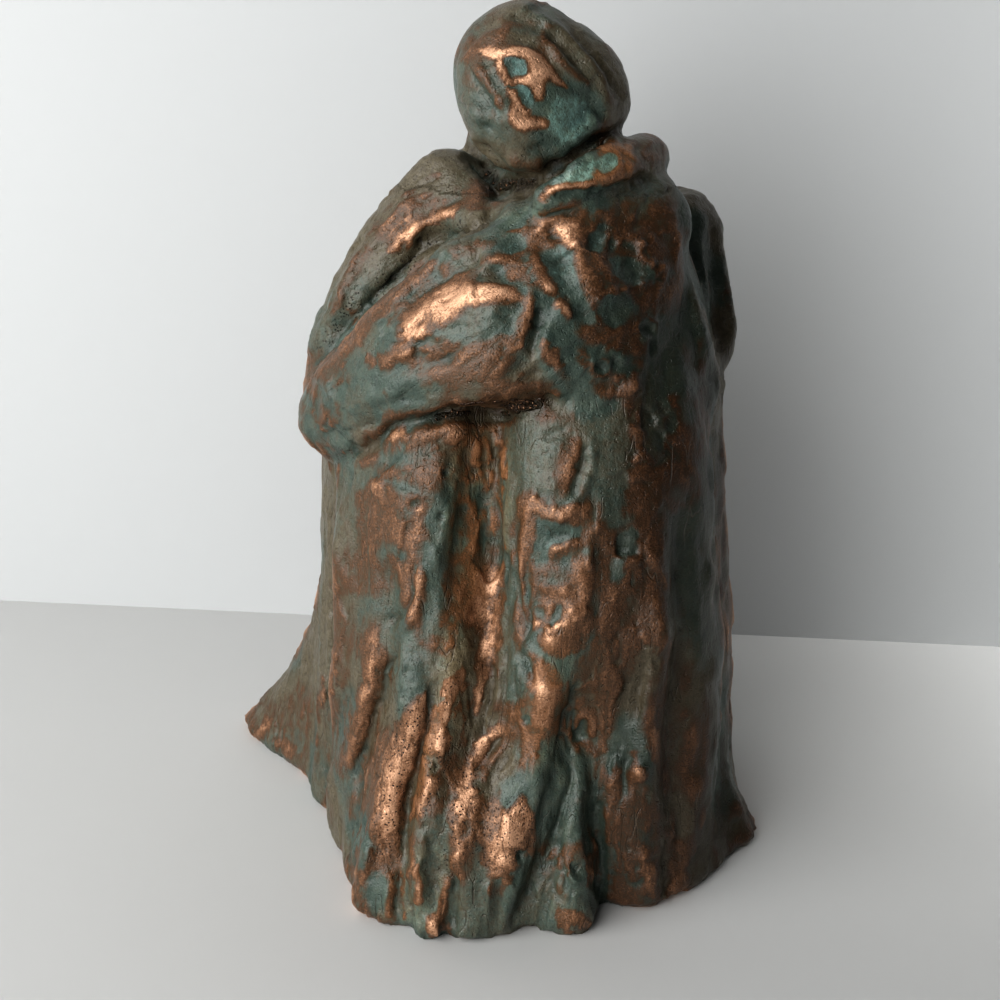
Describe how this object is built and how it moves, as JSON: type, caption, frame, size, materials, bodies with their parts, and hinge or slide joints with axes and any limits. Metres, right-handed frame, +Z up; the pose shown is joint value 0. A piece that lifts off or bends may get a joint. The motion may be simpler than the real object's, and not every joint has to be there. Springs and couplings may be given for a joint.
{
  "type": "metal family sculpture",
  "caption": "Statuette of two robed, faceless figures in a close embrace, cast as one mass with a folded, flared hem.",
  "frame": {"origin": "middle of the sculpture's plan, on the table", "axes": "+Z up, -Y towards the pictured front, +X towards the collared back of the near figure"},
  "size_m": [0.1842, 0.1484, 0.2579],
  "materials": {
    "patinated_bronze": "grey-green and brown patina rubbed back to bright copper on the high places"
  },
  "bodies": {
    "root": {"sculpture": "patinated_bronze"}
  },
  "joints": []
}
